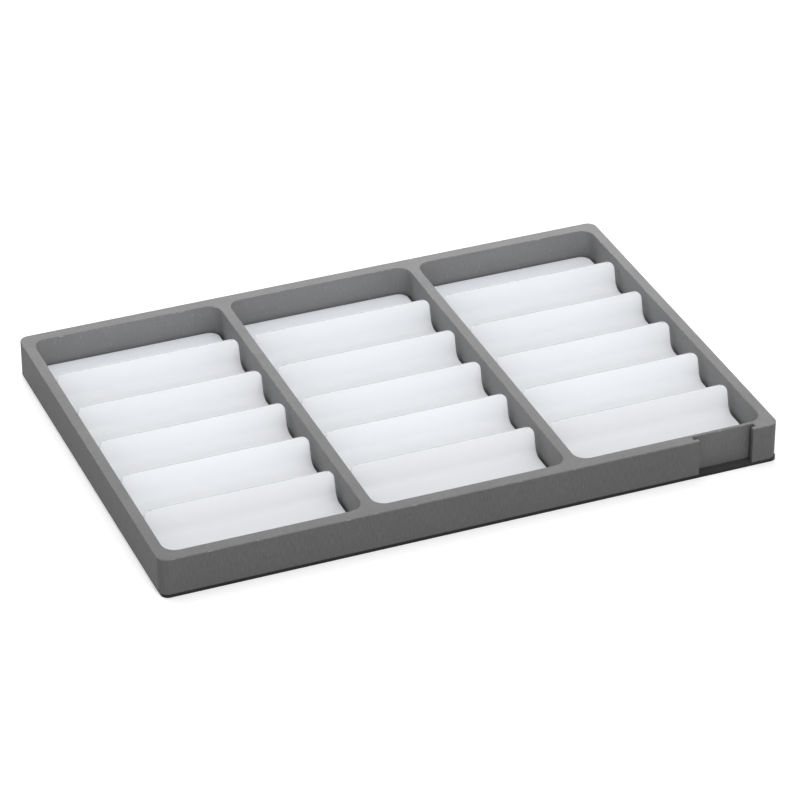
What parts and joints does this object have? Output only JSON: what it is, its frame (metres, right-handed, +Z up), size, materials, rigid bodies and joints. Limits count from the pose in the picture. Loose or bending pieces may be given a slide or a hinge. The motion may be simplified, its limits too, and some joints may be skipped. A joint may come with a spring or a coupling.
{
  "type": "jewelry tray",
  "caption": "Low rectangular display tray with rounded pockets, a label slot in the front wall, and lift-out white inserts with standing flaps that form channels.",
  "frame": {"origin": "centre of the underside, on the surface that the tray stands on", "axes": "+Z up; +X to the right along the long side; -Y towards the front wall that has the label slot"},
  "size_m": [0.35, 0.24, 0.023],
  "materials": {
    "frame_grey": "matt, through-coloured grey fibreboard with a fine vertical grain on its cut walls",
    "plate_black": "matt black thin laminate",
    "insert_white": "smooth matt white leather-like covering with a faint sheen"
  },
  "bodies": {
    "tray": {"tray_frame": "frame_grey", "base_plate": "plate_black"},
    "left_insert": {"left_insert_board": "insert_white", "left_flap_1": "insert_white", "left_flap_2": "insert_white", "left_flap_3": "insert_white", "left_flap_4": "insert_white", "left_flap_5": "insert_white"},
    "middle_insert": {"middle_insert_board": "insert_white", "middle_flap_1": "insert_white", "middle_flap_2": "insert_white", "middle_flap_3": "insert_white", "middle_flap_4": "insert_white", "middle_flap_5": "insert_white"},
    "right_insert": {"right_insert_board": "insert_white", "right_flap_1": "insert_white", "right_flap_2": "insert_white", "right_flap_3": "insert_white", "right_flap_4": "insert_white", "right_flap_5": "insert_white"}
  },
  "joints": [
    {"name": "left_insert_lift", "type": "slide", "parent": "tray", "child": "left_insert", "axis": [0, 0, 1], "range_m": [0, 0.06]},
    {"name": "middle_insert_lift", "type": "slide", "parent": "tray", "child": "middle_insert", "axis": [0, 0, 1], "range_m": [0, 0.06]},
    {"name": "right_insert_lift", "type": "slide", "parent": "tray", "child": "right_insert", "axis": [0, 0, 1], "range_m": [0, 0.06]}
  ]
}
